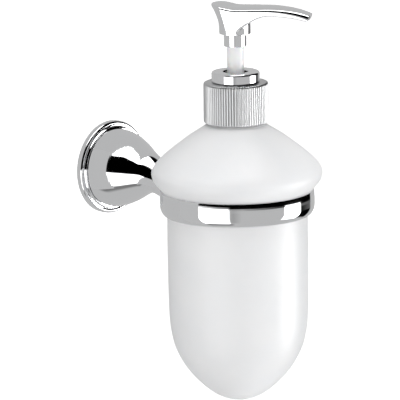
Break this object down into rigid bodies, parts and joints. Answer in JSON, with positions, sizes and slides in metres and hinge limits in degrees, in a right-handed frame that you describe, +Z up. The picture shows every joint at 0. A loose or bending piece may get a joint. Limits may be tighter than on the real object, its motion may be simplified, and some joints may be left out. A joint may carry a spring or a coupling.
{
  "type": "wall mounted soap dispenser",
  "caption": "Chrome wall rosette and bell-shaped arm with a holder ring, a frosted glass bottle hanging in the ring, and a chrome press pump with a long spout.",
  "frame": {"origin": "middle of the wall bracket's back face, on the wall plane", "axes": "+Y points into the wall, +Z up, and +X to the right of someone in the room who faces the wall; the bottle stands out along -Y"},
  "size_m": [0.0868, 0.1481, 0.2057],
  "materials": {
    "chrome": "bright polished chrome plate",
    "frosted_glass": "acid-frosted white glass",
    "white_plastic": "natural white moulded polypropylene",
    "clear_plastic": "translucent polyethylene",
    "black_rubber": "matt black seal",
    "steel": "plain stainless steel",
    "zinc_plate": "zinc plated pressed steel"
  },
  "bodies": {
    "mount": {"wall_bracket": "zinc_plate", "wall_screw_upper": "steel", "wall_screw_lower": "steel", "rosette": "chrome", "grub_screw": "steel", "arm_bolt": "steel", "support_arm": "chrome", "holder_ring": "chrome", "ring_screw": "steel", "ring_liner": "clear_plastic"},
    "bottle": {"glass_bottle": "frosted_glass"},
    "pump": {"neck_gasket": "white_plastic", "pump_housing": "white_plastic", "dip_tube": "clear_plastic", "stem_seal": "black_rubber", "locking_collar": "chrome", "return_spring": "steel"},
    "cap": {"ribbed_cap": "chrome"},
    "plunger": {"piston": "white_plastic"},
    "head": {"pump_stem": "white_plastic", "ferrule": "chrome", "pump_head": "chrome"},
    "inlet_valve": {"inlet_ball": "steel"},
    "outlet_valve": {"outlet_ball": "steel"}
  },
  "joints": [
    {"name": "bottle_lift", "type": "slide", "parent": "mount", "child": "bottle", "axis": [0, 0, 1], "range_m": [0, 0.12]},
    {"name": "pump_lift", "type": "slide", "parent": "bottle", "child": "pump", "axis": [0, 0, 1], "range_m": [0, 0.155]},
    {"name": "cap_turn", "type": "hinge", "parent": "pump", "child": "cap", "pos_m": [0, -0.091, 0], "axis": [0, 0, 1], "range_deg": [0, 540]},
    {"name": "pump_stroke", "type": "slide", "parent": "pump", "child": "plunger", "axis": [0, 0, -1], "range_m": [0, 0.014], "stiffness_N_per_m": 700, "springref_m": -0.012, "deforming": ["return_spring"]},
    {"name": "head_turn", "type": "hinge", "parent": "plunger", "child": "head", "pos_m": [0, -0.091, 0], "axis": [0, 0, 1], "continuous": true},
    {"name": "inlet_ball_lift", "type": "slide", "parent": "pump", "child": "inlet_valve", "axis": [0, 0, 1], "range_m": [0, 0.0012]},
    {"name": "outlet_ball_lift", "type": "slide", "parent": "head", "child": "outlet_valve", "axis": [0, 0, 1], "range_m": [0, 0.0015]}
  ]
}
